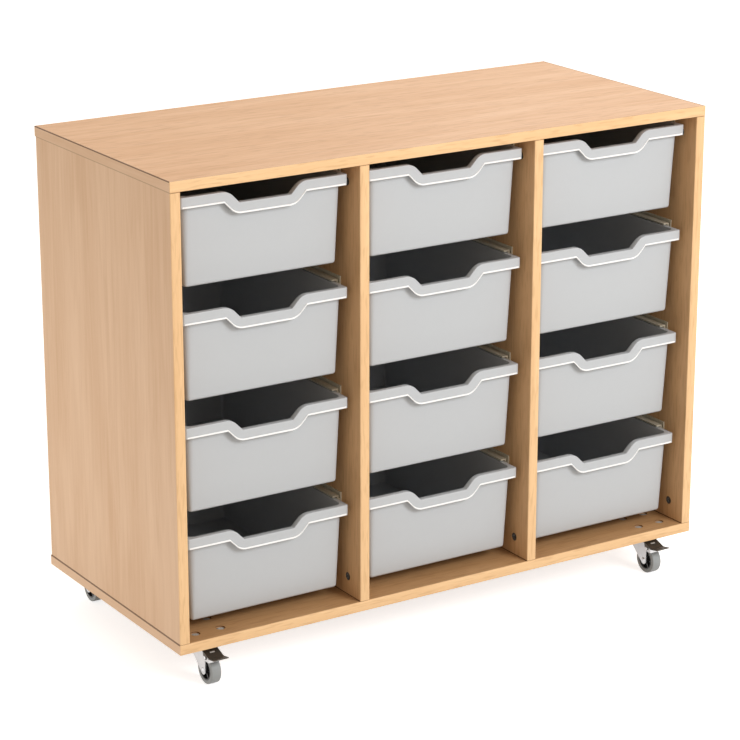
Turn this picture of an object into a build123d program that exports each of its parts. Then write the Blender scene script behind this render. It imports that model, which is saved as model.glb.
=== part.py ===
from build123d import *
from math import atan, degrees
import os

# Tray storage unit: three bays of four lift-out trays in a board carcass on swivel castors.
# Millimetres, +Z up, front towards -Y, origin on the floor under the middle of the whole unit.

os.makedirs("parts", exist_ok=True)

# Trays, which set the size of the carcass
tray_width = 312.0
tray_length = 427.0
tray_height = 153.0
tray_wall = 2.2
tray_floor = 2.6
tray_lean = 8.0
tray_side_overhang = 5.5
tray_end_overhang = 8.0
tray_corner_radius = 6.0
tray_floor_round = 4.5
tray_side_room = 11.3
tray_setback = 21.0
tray_back_room = 40.0
tray_floor_gap = 21.5
tray_stack_gap = 40.0
tray_top_gap = 16.5
rim_thickness = 3.0
rim_corner_radius = 4.0
bay_count = 3
row_count = 4

# Front skirt of the rim, which dips in the middle to make the handle
skirt_height = 18.4
skirt_thickness = 2.6
skirt_return = 28.0
skirt_flare = 8.5
dip_depth = 20.6
dip_floor_width = 96.0
dip_slope_run = 20.0
dip_round = 28.0
dip_crease = 2.5
skirt_bead_height = 3.4
skirt_bead_reach = 1.6
skirt_bead_round = 1.0

# Carcass boards
board = 18.0
edging = 2.0
edging_joint = 0.3
back_board = 4.0
back_inset = 3.0

# Cam fittings that pull the uprights onto the base and the top
cam_radius = 7.5
cam_depth = 12.5
cam_sink = 0.4
cam_pocket_spare = 0.5
cam_from_end = 34.0
cam_from_edge = 42.0
cam_slot_length = 11.0
cam_slot_width = 2.2
cam_slot_depth = 2.0
cam_bolt_radius = 3.0
cam_bolt_grip = 11.0

# Tray runners
runner_setback = 40.0
runner_end_room = 22.0
runner_web = 2.8
runner_wall = 2.4
runner_flange = 2.6
runner_upstand = 8.3
runner_foot = 19.0
runner_grip = 7.0
runner_lip_gap = 1.5
runner_side_gap = 2.5
runner_top_gap = 1.5
runner_seat_gap = 0.3
screw_head_radius = 3.6
screw_head_height = 1.8
screw_shank_radius = 1.8
screw_bite = 8.0
screw_from_end = 45.0

# Castors: place and wheel
castor_side_inset = 70.0
castor_end_inset = 57.0
castor_trail = 27.6
wheel_radius = 25.0
wheel_width = 18.0
tyre_thickness = 6.5
tread_round = 1.2
core_rim = 2.5
core_recess = 6.0
hub_radius = 7.0
hub_gap = 0.3
spoke_count = 6
spoke_width = 2.4
spoke_sink = 1.5
axle_radius = 3.0
axle_head_radius = 5.0
axle_head_height = 1.8
turning_gap = 0.06

# Castors: plate, swivel and fork, which is a pressed hood with two legs
plate_thickness = 2.5
plate_margin = 7.0
plate_corner = 8.0
race_radius = 11.0
race_height = 5.7
swivel_gap = 0.3
kingpin_radius = 4.5
kingpin_head_radius = 7.5
kingpin_head_height = 2.2
fork_thickness = 2.0
fork_side_gap = 1.9
fork_rear_margin = 12.0
fork_rear_depth = 6.9
fork_boss_radius = 7.5
fork_bend = 3.0
hood_room = 14.5
hood_front = 20.4
hood_fall = 14.5
hood_lip = 7.0

# Castor bolts through the base panel
bolt_spacing = 48.0
bolt_radius = 3.0
bolt_head_radius = 7.5
bolt_head_height = 2.4
bolt_head_sink = 2.4
bolt_pocket_spare = 0.9

# Brake pedal of the front castors
pedal_thickness = 1.8
pedal_top_lead = 3.5
pedal_top_gap = 0.5
pedal_bend_lead = 3.7
pedal_bend_gap = 2.4
pedal_bend_radius = 3.0
pedal_tip_length = 17.3
pedal_tip_rise = 3.1
pedal_slot_length = 10.0
pedal_slot_width = 3.0
pedal_slot_setback = 23.0
pedal_ear_gap = 0.3
pedal_ear_thickness = 1.2
pedal_ear_radius = 4.2
pedal_ear_spread = 7.0
pedal_pivot_setback = 11.0
pedal_pivot_gap = 0.6
pedal_pin_radius = 2.0
pedal_pin_head_radius = 3.4
pedal_pin_head_height = 1.2

# Cuts run past the faces that they open by this much
overrun = 1.0

# Carcass that the trays fill
bay_width = tray_width + 2 * tray_side_room
carcass_width = bay_count * bay_width + (bay_count + 1) * board
carcass_depth = tray_setback + tray_length + tray_back_room
tray_pitch = tray_height + tray_stack_gap
carcass_height = 2 * board + tray_floor_gap + row_count * tray_pitch - tray_stack_gap + tray_top_gap

# Castor that the wheel and the swivel fill, with drops counted from the base's underside
crown_drop = plate_thickness + race_height + swivel_gap
castor_height = crown_drop + fork_thickness + hood_room + 2 * wheel_radius
fork_front = castor_trail + hood_front
hood_slope = hood_fall / (fork_front - race_radius)
pedal_bend_reach = fork_front + pedal_bend_lead
pedal_tip_reach = pedal_bend_reach + pedal_tip_length

# Places that follow from the sizes above
front_overhang = max(pedal_tip_reach - castor_end_inset, 0)
front_y = (front_overhang - carcass_depth) / 2
back_y = front_y + carcass_depth
board_front_y = front_y + edging
upright_back_y = back_y - back_board
base_z = castor_height
base_top_z = base_z + board
top_z = base_z + carcass_height
top_under_z = top_z - board
upright_xs = [(i - bay_count / 2) * (bay_width + board) for i in range(bay_count + 1)]
bay_xs = [(i - (bay_count - 1) / 2) * (bay_width + board) for i in range(bay_count)]
lowest_rim_z = base_top_z + tray_floor_gap + tray_height
rim_zs = [lowest_rim_z + (row_count - 1 - row) * tray_pitch for row in range(row_count)]
castor_xs = [-carcass_width / 2 + castor_side_inset, carcass_width / 2 - castor_side_inset]
castor_ys = [front_y + castor_end_inset, back_y - castor_end_inset]
cam_ys = [front_y + cam_from_edge, upright_back_y - cam_from_edge]
upright_names = ["left_side_panel", "left_divider", "right_divider", "right_side_panel"]
bay_names = ["left", "middle", "right"]


def save(piece, label):
    """Labels a finished piece and writes its own file."""
    piece.label = label
    export_step(piece, f"parts/{label}.step")


# Top and base panels, which run the full width over and under the uprights
board_mid_y = (board_front_y + back_y) / 2
board_length_y = back_y - board_front_y
bolt_head_top = base_top_z - bolt_head_sink
bolt_head_under = bolt_head_top - bolt_head_height
bolt_square = [(i * bolt_spacing / 2, j * bolt_spacing / 2) for i in (-1, 1) for j in (-1, 1)]
bolt_places = [(x + i, y + j) for x in castor_xs for y in castor_ys for i, j in bolt_square]
cam_bolt_places = [(x, y) for x in upright_xs for y in cam_ys]

with BuildPart() as top_panel:
    with BuildSketch(Plane((0, board_mid_y, top_under_z))):
        Rectangle(carcass_width, board_length_y)
    extrude(amount=board)
    with BuildSketch(Plane.XY.offset(top_under_z)):
        with Locations(*cam_bolt_places):
            Circle(cam_bolt_radius)
    extrude(amount=cam_bolt_grip, mode=Mode.SUBTRACT)
save(top_panel.part, "top_panel")

with BuildPart() as base_panel:
    with BuildSketch(Plane((0, board_mid_y, base_z))):
        Rectangle(carcass_width, board_length_y)
    extrude(amount=board)
    with BuildSketch(Plane.XY.offset(base_top_z)):
        with Locations(*cam_bolt_places):
            Circle(cam_bolt_radius)
    extrude(amount=-cam_bolt_grip, mode=Mode.SUBTRACT)
    with BuildSketch(Plane.XY.offset(base_top_z)):
        with Locations(*bolt_places):
            Circle(bolt_head_radius + bolt_pocket_spare)
    extrude(amount=bolt_head_under - base_top_z, mode=Mode.SUBTRACT)
    with BuildSketch(Plane.XY.offset(base_z)):
        with Locations(*bolt_places):
            Circle(bolt_radius)
    extrude(amount=board, mode=Mode.SUBTRACT)
save(base_panel.part, "base_panel")

# Uprights: two sides and two dividers, with a pocket for each cam and a bore for its bolt
upright_mid_y = (board_front_y + upright_back_y) / 2
upright_length_y = upright_back_y - board_front_y
upright_height = top_under_z - base_top_z
cam_zs = [base_top_z + cam_from_end, top_under_z - cam_from_end]
cam_bolt_reach = cam_from_end - cam_radius
cam_faces = [1] + [-1] * bay_count

for x, face, label in zip(upright_xs, cam_faces, upright_names):
    with BuildPart() as upright:
        with BuildSketch(Plane((x, upright_mid_y, base_top_z))):
            Rectangle(board, upright_length_y)
        extrude(amount=upright_height)
        with BuildSketch(Plane.YZ.offset(x + face * board / 2)):
            with Locations(*[(y, z) for y in cam_ys for z in cam_zs]):
                Circle(cam_radius)
        extrude(amount=-face * (cam_depth + cam_sink + cam_pocket_spare), mode=Mode.SUBTRACT)
        with BuildSketch(Plane.XY.offset(base_top_z)):
            with Locations(*[(x, y) for y in cam_ys]):
                Circle(cam_bolt_radius)
        extrude(amount=cam_from_end, mode=Mode.SUBTRACT)
        with BuildSketch(Plane.XY.offset(top_under_z)):
            with Locations(*[(x, y) for y in cam_ys]):
                Circle(cam_bolt_radius)
        extrude(amount=-cam_from_end, mode=Mode.SUBTRACT)
    save(upright.part, label)

# Back panel, let in between top and base behind the uprights
with BuildPart() as back_panel:
    with BuildSketch(Plane((0, upright_back_y + back_board / 2, base_top_z))):
        Rectangle(carcass_width - back_inset - back_inset, back_board)
    extrude(amount=upright_height)
save(back_panel.part, "back_panel")

# Edging on the front of every board, with a hairline joint where two strips meet
edging_mid_y = front_y + edging / 2
with BuildPart() as front_edging:
    for z in (base_z, top_under_z):
        with BuildSketch(Plane((0, edging_mid_y, z))):
            Rectangle(carcass_width, edging)
        extrude(amount=board)
    for x in upright_xs:
        with BuildSketch(Plane((x, edging_mid_y, base_top_z + edging_joint))):
            Rectangle(board, edging)
        extrude(amount=upright_height - edging_joint - edging_joint)
save(front_edging.part, "front_edging")

# Cam locks, discs with a cross recess, just below the face of their board
with BuildPart() as cam_locks:
    for x, face in zip(upright_xs, cam_faces):
        cam_x = x + face * (board / 2 - cam_sink)
        cam_places = [(y, z) for y in cam_ys for z in cam_zs]
        with BuildSketch(Plane.YZ.offset(cam_x)):
            with Locations(*cam_places):
                Circle(cam_radius)
        extrude(amount=-face * cam_depth)
        with BuildSketch(Plane.YZ.offset(cam_x)):
            with Locations(*cam_places):
                Rectangle(cam_slot_length, cam_slot_width)
                Rectangle(cam_slot_width, cam_slot_length)
        extrude(amount=-face * cam_slot_depth, mode=Mode.SUBTRACT)
save(cam_locks.part, "cam_locks")

# Cam bolts, screwed into base and top and reaching up or down to the rim of their cam
with BuildPart() as cam_bolts:
    for z in (base_top_z - cam_bolt_grip, top_under_z - cam_bolt_reach):
        with BuildSketch(Plane.XY.offset(z)):
            with Locations(*cam_bolt_places):
                Circle(cam_bolt_radius)
        extrude(amount=cam_bolt_grip + cam_bolt_reach)
save(cam_bolts.part, "cam_bolts")

# Castor bolts, with flat round heads sunk into the base and shanks that end in the castor plates
bolt_end_z = base_z - plate_thickness
with BuildPart() as castor_bolts:
    with BuildSketch(Plane.XY.offset(bolt_head_under)):
        with Locations(*bolt_places):
            Circle(bolt_head_radius)
    extrude(amount=bolt_head_height)
    with BuildSketch(Plane.XY.offset(bolt_end_z)):
        with Locations(*bolt_places):
            Circle(bolt_radius)
    extrude(amount=bolt_head_under - bolt_end_z)
save(castor_bolts.part, "castor_bolts")

# Tray, made once with its rim's front at y = 0 and its rim's top at z = 0
tray_lean_angle = degrees(atan(tray_lean / tray_height))
tray_mid_y = tray_length / 2
floor_width = tray_width - 2 * (tray_side_overhang + tray_lean)
floor_length = tray_length - 2 * (tray_end_overhang + tray_lean)
cavity_lift = tray_floor * tray_lean / tray_height
cavity_width = floor_width + 2 * (cavity_lift - tray_wall)
cavity_length = floor_length + 2 * (cavity_lift - tray_wall)
rim_half = tray_width / 2
dip_half = dip_floor_width / 2


def dip_line(drop, half):
    """The rim's edge from -half to half, dipped in the middle, lowered by drop and flared as the skirt is."""
    flared_half = dip_half + skirt_flare * drop / skirt_height
    mouth_half = flared_half + dip_slope_run
    return [
        (-half, -drop),
        (-mouth_half, -drop),
        (-flared_half, -drop - dip_depth),
        (flared_half, -drop - dip_depth),
        (mouth_half, -drop),
        (half, -drop),
    ]


def dip_band(top_drop, bottom_drop, half):
    """Corners of the closed band between two lowered copies of the rim's edge."""
    return dip_line(top_drop, half) + dip_line(bottom_drop, half)[::-1]


# The upper edge is rounded where it turns down and creased where it turns level, the lower the other way
upper_rounds = [dip_round, dip_crease, dip_crease, dip_round]
lower_rounds = [dip_crease, dip_round, dip_round, dip_crease]

# Skirt: a band round the front of the rim, trimmed to the dipped outline
with BuildPart() as skirt:
    with BuildSketch():
        with Locations((0, tray_mid_y)):
            RectangleRounded(tray_width, tray_length, rim_corner_radius)
            RectangleRounded(
                tray_width - 2 * skirt_thickness,
                tray_length - 2 * skirt_thickness,
                rim_corner_radius - skirt_thickness,
                mode=Mode.SUBTRACT,
            )
        with Locations((0, skirt_return / 2)):
            Rectangle(tray_width, skirt_return, mode=Mode.INTERSECT)
    extrude(amount=-skirt_height - dip_depth)
    with BuildSketch(Plane.XZ):
        with BuildLine():
            skirt_rounds = [0, *upper_rounds, 0, 0, *lower_rounds, 0]
            FilletPolyline(*dip_band(0, skirt_height, rim_half), radius=skirt_rounds, close=True)
        make_face()
    extrude(amount=-skirt_return, mode=Mode.INTERSECT)

# Bead along the skirt's lower edge, the lip that the fingers find, ending where the corners turn
bead_drop = skirt_height - skirt_bead_height
bead_half = rim_half - rim_corner_radius
bead_rounds = [0, *lower_rounds, 0, 0, *lower_rounds, 0]
with BuildPart() as bead:
    with BuildSketch(Plane.XZ.offset(skirt_bead_reach)):
        with BuildLine():
            FilletPolyline(*dip_band(bead_drop, skirt_height, bead_half), radius=bead_rounds, close=True)
        make_face()
    extrude(amount=-skirt_bead_reach - skirt_thickness / 2)
    fillet(bead.faces().sort_by(Axis.Y)[0].edges(), skirt_bead_round)

# Land between the skirt and the front wall, which follows the dip
land_rounds = [0, *upper_rounds, 0, 0, *upper_rounds, 0]
with BuildPart() as land:
    with BuildSketch(Plane.XZ):
        with BuildLine():
            FilletPolyline(*dip_band(0, rim_thickness, rim_half), radius=land_rounds, close=True)
        make_face()
    extrude(amount=-tray_end_overhang - tray_wall)
    with BuildSketch(Plane((0, tray_mid_y, 0))):
        RectangleRounded(tray_width, tray_length, rim_corner_radius)
    extrude(amount=-rim_thickness - dip_depth, mode=Mode.INTERSECT)

# Cavity of the tray, rounded where its walls meet its floor
with BuildPart() as cavity:
    with BuildSketch(Plane((0, tray_mid_y, tray_floor - tray_height))):
        RectangleRounded(cavity_width, cavity_length, tray_corner_radius - tray_wall)
    extrude(amount=tray_height - tray_floor + overrun, taper=-tray_lean_angle)
    fillet(cavity.faces().sort_by(Axis.Z)[0].edges(), tray_floor_round - tray_wall)

dip_opening = dip_line(0, rim_half) + [(rim_half, overrun), (-rim_half, overrun)]
with BuildPart() as tray_form:
    with BuildSketch(Plane((0, tray_mid_y, -tray_height))):
        RectangleRounded(floor_width, floor_length, tray_corner_radius)
    extrude(amount=tray_height, taper=-tray_lean_angle)
    fillet(tray_form.faces().sort_by(Axis.Z)[0].edges(), tray_floor_round)
    with BuildSketch(Plane((0, tray_mid_y, 0))):
        RectangleRounded(tray_width, tray_length, rim_corner_radius)
    extrude(amount=-rim_thickness)
    add(cavity.part, mode=Mode.SUBTRACT)
    with BuildSketch(Plane.XZ.offset(overrun)):
        with BuildLine():
            FilletPolyline(*dip_opening, radius=[0, *upper_rounds, 0, 0, 0], close=True)
        make_face()
    extrude(amount=-overrun - tray_end_overhang - tray_lean, mode=Mode.SUBTRACT)
    add(land.part)
    add(skirt.part)
    add(bead.part)

for bay, bay_x in zip(bay_names, bay_xs):
    for row, rim_z in enumerate(rim_zs, start=1):
        with BuildPart() as tray:
            with Locations((bay_x, front_y + tray_setback, rim_z)):
                add(tray_form.part)
        save(tray.part, f"tray_{bay}_{row}")

# Runners: a channel that holds the tray's side rim, on a web screwed to the upright
seat_drop = rim_thickness + runner_seat_gap
channel_x = rim_half + runner_side_gap
flange_x = rim_half - runner_grip
lip_x = rim_half - tray_side_overhang + runner_lip_gap
web_x = bay_width / 2 - runner_web
runner_front_y = front_y + tray_setback + runner_setback
runner_length = tray_length - runner_setback - runner_end_room
screw_drop = (seat_drop + runner_flange + runner_foot) / 2


def runner_outline(bay_x, side, rim_z):
    """Section of one runner, seen from the front, for the left (-1) or right (1) side of a bay."""
    section = [
        (bay_width / 2, -runner_foot),
        (bay_width / 2, runner_upstand),
        (web_x, runner_upstand),
        (web_x, -seat_drop),
        (channel_x + runner_wall, -seat_drop),
        (channel_x + runner_wall, runner_top_gap + runner_flange),
        (flange_x, runner_top_gap + runner_flange),
        (flange_x, runner_top_gap),
        (channel_x, runner_top_gap),
        (channel_x, -seat_drop),
        (lip_x, -seat_drop),
        (lip_x, -seat_drop - runner_flange),
        (web_x, -seat_drop - runner_flange),
        (web_x, -runner_foot),
    ]
    return [(bay_x + side * across, rim_z + up) for across, up in section]


runner_sides = [
    (f"runners_{bay}_bay_{hand}", bay_x, side)
    for bay, bay_x in zip(bay_names, bay_xs)
    for hand, side in (("left", -1), ("right", 1))
]
screw_ys = [runner_front_y + screw_from_end, runner_front_y + runner_length - screw_from_end]
screw_places = [(y, rim_z - screw_drop) for y in screw_ys for rim_z in rim_zs]

for label, bay_x, side in runner_sides:
    with BuildPart() as runners:
        with BuildSketch(Plane.XZ.offset(-runner_front_y)):
            for rim_z in rim_zs:
                with BuildLine():
                    Polyline(*runner_outline(bay_x, side, rim_z), close=True)
                make_face()
        extrude(amount=-runner_length)
        with BuildSketch(Plane.YZ.offset(bay_x + side * web_x)):
            with Locations(*screw_places):
                Circle(screw_shank_radius)
        extrude(amount=side * runner_web, mode=Mode.SUBTRACT)
    save(runners.part, label)

# Runner screws, with pan heads against the foot of each web and shanks that bite into the uprights
with BuildPart() as runner_screws:
    for label, bay_x, side in runner_sides:
        with BuildSketch(Plane.YZ.offset(bay_x + side * web_x)):
            with Locations(*screw_places):
                Circle(screw_head_radius)
        extrude(amount=-side * screw_head_height)
        with BuildSketch(Plane.YZ.offset(bay_x + side * web_x)):
            with Locations(*screw_places):
                Circle(screw_shank_radius)
        extrude(amount=side * (runner_web + screw_bite))
save(runner_screws.part, "runner_screws")

# Castor, made once with its swivel axis on the Z axis, its plate's top at z = 0 and its wheel towards -Y
axle_place = (-castor_trail, wheel_radius - castor_height)
fork_half = wheel_width / 2 + fork_side_gap + fork_thickness
hub_half = fork_half - fork_thickness - hub_gap
core_radius = wheel_radius - tyre_thickness
plate_size = bolt_spacing + 2 * plate_margin
fork_rear = race_radius + fork_rear_margin

# Top plate with the pressed race that the fork turns against
with BuildPart() as plate_form:
    with BuildSketch():
        RectangleRounded(plate_size, plate_size, plate_corner)
        with Locations(*bolt_square):
            Circle(bolt_radius, mode=Mode.SUBTRACT)
    extrude(amount=-plate_thickness)
    with BuildSketch(Plane.XY.offset(-plate_thickness)):
        Circle(race_radius)
    extrude(amount=-race_height)
    with BuildSketch():
        Circle(kingpin_radius)
    extrude(amount=-plate_thickness - race_height, mode=Mode.SUBTRACT)

# Kingpin, riveted into the plate, with its head under the fork's crown
kingpin_head_drop = crown_drop + fork_thickness + swivel_gap
with BuildPart() as kingpin_form:
    with BuildSketch():
        Circle(kingpin_radius)
    extrude(amount=-kingpin_head_drop)
    with BuildSketch(Plane.XY.offset(-kingpin_head_drop)):
        Circle(kingpin_head_radius)
    extrude(amount=-kingpin_head_height)


def hood_drop(reach):
    """How far under the base the hood's upper face lies, so far in front of the swivel axis."""
    return crown_drop + hood_slope * (reach - race_radius)


# Fork: a hood over the wheel, bent from a level crown to a slope and a front lip, and two legs
leg_front = castor_trail + fork_boss_radius
hood_front_drop = hood_drop(fork_front)
with BuildPart() as fork_form:
    with BuildSketch(Plane.YZ.offset(-fork_half)):
        with BuildLine():
            FilletPolyline(
                (fork_rear, -crown_drop),
                (-race_radius, -crown_drop),
                (-fork_front, -hood_front_drop),
                (-fork_front, -hood_front_drop - hood_lip),
                radius=fork_bend,
            )
            offset(amount=fork_thickness, side=Side.LEFT, kind=Kind.INTERSECTION)
        make_face()
    extrude(amount=2 * fork_half)
    for side in (-1, 1):
        with BuildSketch(Plane.YZ.offset(side * fork_half)):
            with BuildLine():
                Polyline(
                    (fork_rear, -crown_drop - fork_rear_depth),
                    (fork_rear, -crown_drop - fork_thickness / 2),
                    (-race_radius, -crown_drop - fork_thickness / 2),
                    (-leg_front, -hood_drop(leg_front) - fork_thickness / 2),
                    close=True,
                )
            make_face()
            with Locations(axle_place):
                Circle(fork_boss_radius)
            make_hull()
            with BuildLine():
                Polyline(
                    (-race_radius, -crown_drop - fork_thickness / 2),
                    (-fork_front + fork_thickness / 2, -hood_front_drop - fork_thickness / 2),
                    (-fork_front + fork_thickness / 2, -hood_front_drop - hood_lip),
                    (-race_radius, -hood_front_drop - hood_lip),
                    close=True,
                )
            make_face()
        extrude(amount=-side * fork_thickness)
    with BuildSketch(Plane.XY.offset(-crown_drop)):
        Circle(kingpin_radius + turning_gap)
    extrude(amount=-fork_thickness, mode=Mode.SUBTRACT)
    with BuildSketch(Plane.YZ.offset(-fork_half)):
        with Locations(axle_place):
            Circle(axle_radius)
    extrude(amount=2 * fork_half, mode=Mode.SUBTRACT)

# Fork of a braked castor, drilled for the pedal's pin
pivot_reach = fork_front - pedal_pivot_setback
pivot_drop = hood_drop(pivot_reach) + fork_thickness + pedal_pin_radius + pedal_pivot_gap
pivot_place = (-pivot_reach, -pivot_drop)
with BuildPart() as braked_fork_form:
    add(fork_form.part)
    with BuildSketch(Plane.YZ.offset(-fork_half)):
        with Locations(pivot_place):
            Circle(pedal_pin_radius)
    extrude(amount=2 * fork_half, mode=Mode.SUBTRACT)

# Axle, riveted over at both ends
with BuildPart() as axle_form:
    with BuildSketch(Plane.YZ.offset(-fork_half)):
        with Locations(axle_place):
            Circle(axle_radius)
    extrude(amount=2 * fork_half)
    for side in (-1, 1):
        with BuildSketch(Plane.YZ.offset(side * fork_half)):
            with Locations(axle_place):
                Circle(axle_head_radius)
        extrude(amount=side * axle_head_height)

# Wheel core: rim, web and hub, with spokes in the recess of both faces
recess_radius = core_radius - core_rim
spoke_length = recess_radius - (axle_radius + hub_radius) / 2
spoke_middle = recess_radius - spoke_length / 2
with BuildPart() as core_form:
    with BuildSketch(Plane.YZ.offset(-wheel_width / 2)):
        with Locations(axle_place):
            Circle(core_radius)
    extrude(amount=wheel_width)
    for side in (-1, 1):
        with BuildSketch(Plane.YZ.offset(side * wheel_width / 2)):
            with Locations(axle_place):
                Circle(recess_radius)
        extrude(amount=-side * core_recess, mode=Mode.SUBTRACT)
        with BuildSketch(Plane.YZ.offset(side * (wheel_width / 2 - core_recess))):
            with Locations(axle_place):
                with PolarLocations(spoke_middle, spoke_count):
                    Rectangle(spoke_length + core_rim, spoke_width)
        extrude(amount=side * (core_recess - spoke_sink))
    with BuildSketch(Plane.YZ.offset(-hub_half)):
        with Locations(axle_place):
            Circle(hub_radius)
    extrude(amount=2 * hub_half)
    with BuildSketch(Plane.YZ.offset(-hub_half)):
        with Locations(axle_place):
            Circle(axle_radius + turning_gap)
    extrude(amount=2 * hub_half, mode=Mode.SUBTRACT)

# Tyre, moulded round the core
with BuildPart() as tyre_form:
    with BuildSketch(Plane.YZ.offset(-wheel_width / 2)):
        with Locations(axle_place):
            Circle(wheel_radius)
            Circle(core_radius, mode=Mode.SUBTRACT)
    extrude(amount=wheel_width)
    tread_edges = tyre_form.edges().filter_by(GeomType.CIRCLE).group_by(SortBy.RADIUS)[-1]
    fillet(tread_edges, tread_round)

# Brake pedal: a bent plate over the hood on two ears that turn on the pin, with a slot in its face
pedal_top_reach = race_radius + pedal_top_lead
pedal_top_drop = hood_drop(pedal_top_reach) - pedal_top_gap - pedal_thickness
pedal_bend_drop = hood_drop(pedal_bend_reach) - pedal_bend_gap - pedal_thickness
pedal_slope = (pedal_bend_drop - pedal_top_drop) / (pedal_bend_reach - pedal_top_reach)
pedal_half = fork_half + pedal_ear_gap + pedal_ear_thickness


def pedal_drop(reach):
    """How far under the base the pedal's upper face lies, so far in front of the swivel axis."""
    return pedal_top_drop + pedal_slope * (reach - pedal_top_reach)


ear_rear = pivot_reach - pedal_ear_spread
ear_front = pivot_reach + pedal_ear_spread
with BuildPart() as pedal_form:
    with BuildSketch(Plane.YZ.offset(-pedal_half)):
        with BuildLine():
            FilletPolyline(
                (-pedal_top_reach, -pedal_top_drop),
                (-pedal_bend_reach, -pedal_bend_drop),
                (-pedal_tip_reach, pedal_tip_rise - pedal_bend_drop),
                radius=pedal_bend_radius,
            )
            offset(amount=pedal_thickness, side=Side.LEFT, kind=Kind.INTERSECTION)
        make_face()
    extrude(amount=2 * pedal_half)
    with BuildSketch():
        with Locations((0, pedal_slot_setback - pedal_bend_reach)):
            Rectangle(pedal_slot_length, pedal_slot_width)
    extrude(amount=-pedal_bend_drop - pedal_thickness, mode=Mode.SUBTRACT)
    for side in (-1, 1):
        with BuildSketch(Plane.YZ.offset(side * pedal_half)):
            with BuildLine():
                Polyline(
                    (-ear_rear, -pedal_drop(ear_rear)),
                    (-ear_front, -pedal_drop(ear_front)),
                    pivot_place,
                    close=True,
                )
            make_face()
            with Locations(pivot_place):
                Circle(pedal_ear_radius)
            make_hull()
        extrude(amount=-side * pedal_ear_thickness)
    with BuildSketch(Plane.YZ.offset(-pedal_half)):
        with Locations(pivot_place):
            Circle(pedal_pin_radius + turning_gap)
    extrude(amount=2 * pedal_half, mode=Mode.SUBTRACT)

# Pedal pin, held in the fork's sides and headed outside the pedal's ears
pin_half = pedal_half + pedal_ear_gap
with BuildPart() as pin_form:
    with BuildSketch(Plane.YZ.offset(-pin_half)):
        with Locations(pivot_place):
            Circle(pedal_pin_radius)
    extrude(amount=2 * pin_half)
    for side in (-1, 1):
        with BuildSketch(Plane.YZ.offset(side * pin_half)):
            with Locations(pivot_place):
                Circle(pedal_pin_head_radius)
        extrude(amount=side * pedal_pin_head_height)

# Four castors: the front pair trails forwards and is braked, the rear pair trails backwards
plain_pieces = {
    "castor_plate": plate_form,
    "castor_kingpin": kingpin_form,
    "castor_fork": fork_form,
    "castor_axle": axle_form,
    "wheel_core": core_form,
    "wheel_tyre": tyre_form,
}
braked_pieces = {
    **plain_pieces,
    "castor_fork": braked_fork_form,
    "brake_pedal": pedal_form,
    "brake_pin": pin_form,
}
castor_ends = [("front", braked_pieces, 0), ("rear", plain_pieces, 180)]
for (end, pieces, turn), y in zip(castor_ends, castor_ys):
    for hand, x in zip(("left", "right"), castor_xs):
        for label, form in pieces.items():
            with BuildPart() as piece:
                with Locations(Location((x, y, base_z), (0, 0, turn))):
                    add(form.part)
            save(piece.part, f"{end}_{hand}_{label}")
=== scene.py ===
"""Looks of a three-bay tray storage unit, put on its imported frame.

Boards, edging, trays, runners, fasteners and castors each get their own finish. Trays, edging strips,
wheels and fastener heads are worked out as smooth surfaces that stand for the plainer solids, and the
stage gives a pale floor, soft light and the viewing angle. Metres, +Z up, front towards -Y.
"""

import math

import bmesh
import bpy
import numpy as np
from bpy.props import FloatProperty, FloatVectorProperty, PointerProperty
from mathutils import Matrix, Vector


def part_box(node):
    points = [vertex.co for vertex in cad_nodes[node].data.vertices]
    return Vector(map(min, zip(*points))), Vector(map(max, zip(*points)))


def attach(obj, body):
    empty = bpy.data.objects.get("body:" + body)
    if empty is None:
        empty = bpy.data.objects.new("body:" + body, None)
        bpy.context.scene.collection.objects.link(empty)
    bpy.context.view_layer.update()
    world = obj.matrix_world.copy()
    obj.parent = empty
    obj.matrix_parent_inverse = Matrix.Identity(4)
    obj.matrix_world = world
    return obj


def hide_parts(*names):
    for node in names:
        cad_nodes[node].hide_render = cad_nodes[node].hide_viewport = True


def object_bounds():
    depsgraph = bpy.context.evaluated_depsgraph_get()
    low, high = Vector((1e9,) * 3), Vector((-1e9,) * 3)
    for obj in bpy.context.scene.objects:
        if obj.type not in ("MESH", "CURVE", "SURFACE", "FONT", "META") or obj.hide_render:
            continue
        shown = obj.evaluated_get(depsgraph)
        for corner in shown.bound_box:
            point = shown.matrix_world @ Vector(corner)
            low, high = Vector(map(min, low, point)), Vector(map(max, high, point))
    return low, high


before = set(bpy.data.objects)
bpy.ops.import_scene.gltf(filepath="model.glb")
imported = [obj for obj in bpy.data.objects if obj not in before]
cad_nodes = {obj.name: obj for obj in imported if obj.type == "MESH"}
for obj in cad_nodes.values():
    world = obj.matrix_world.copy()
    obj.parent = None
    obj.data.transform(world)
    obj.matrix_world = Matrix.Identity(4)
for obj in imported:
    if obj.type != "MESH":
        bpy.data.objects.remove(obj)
cad_box = [list(corner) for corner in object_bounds()]

bl_info = {
    "name": "Tray storage unit looks",
    "version": (1, 0, 0),
    "blender": (4, 5, 0),
    "location": "3D View > Sidebar > Tray unit",
    "description": "Finishes and stage for a tray storage unit on its packed frame",
    "category": "Object",
}

BAYS = ("left", "middle", "right")
ROWS = (1, 2, 3, 4)
PLACES = ("front_left", "front_right", "rear_left", "rear_right")
BRAKED = PLACES[:2]
FLAT_BOARDS = ("top_panel", "base_panel")
UPRIGHTS = ("left_side_panel", "left_divider", "right_divider", "right_side_panel")

# Steps of the surfaces' grids
DIP_STEPS = 181
CORNER_STEPS = 8
TURN_STEPS = 96
SMALL_TURN_STEPS = 48
FACE_STEPS = 12
QUARTER = np.radians([30.0, 60.0, 90.0])
BEAD_STEPS = (0.94, 0.84, 0.68, 0.5, 0.32, 0.16, 0.06)

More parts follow.
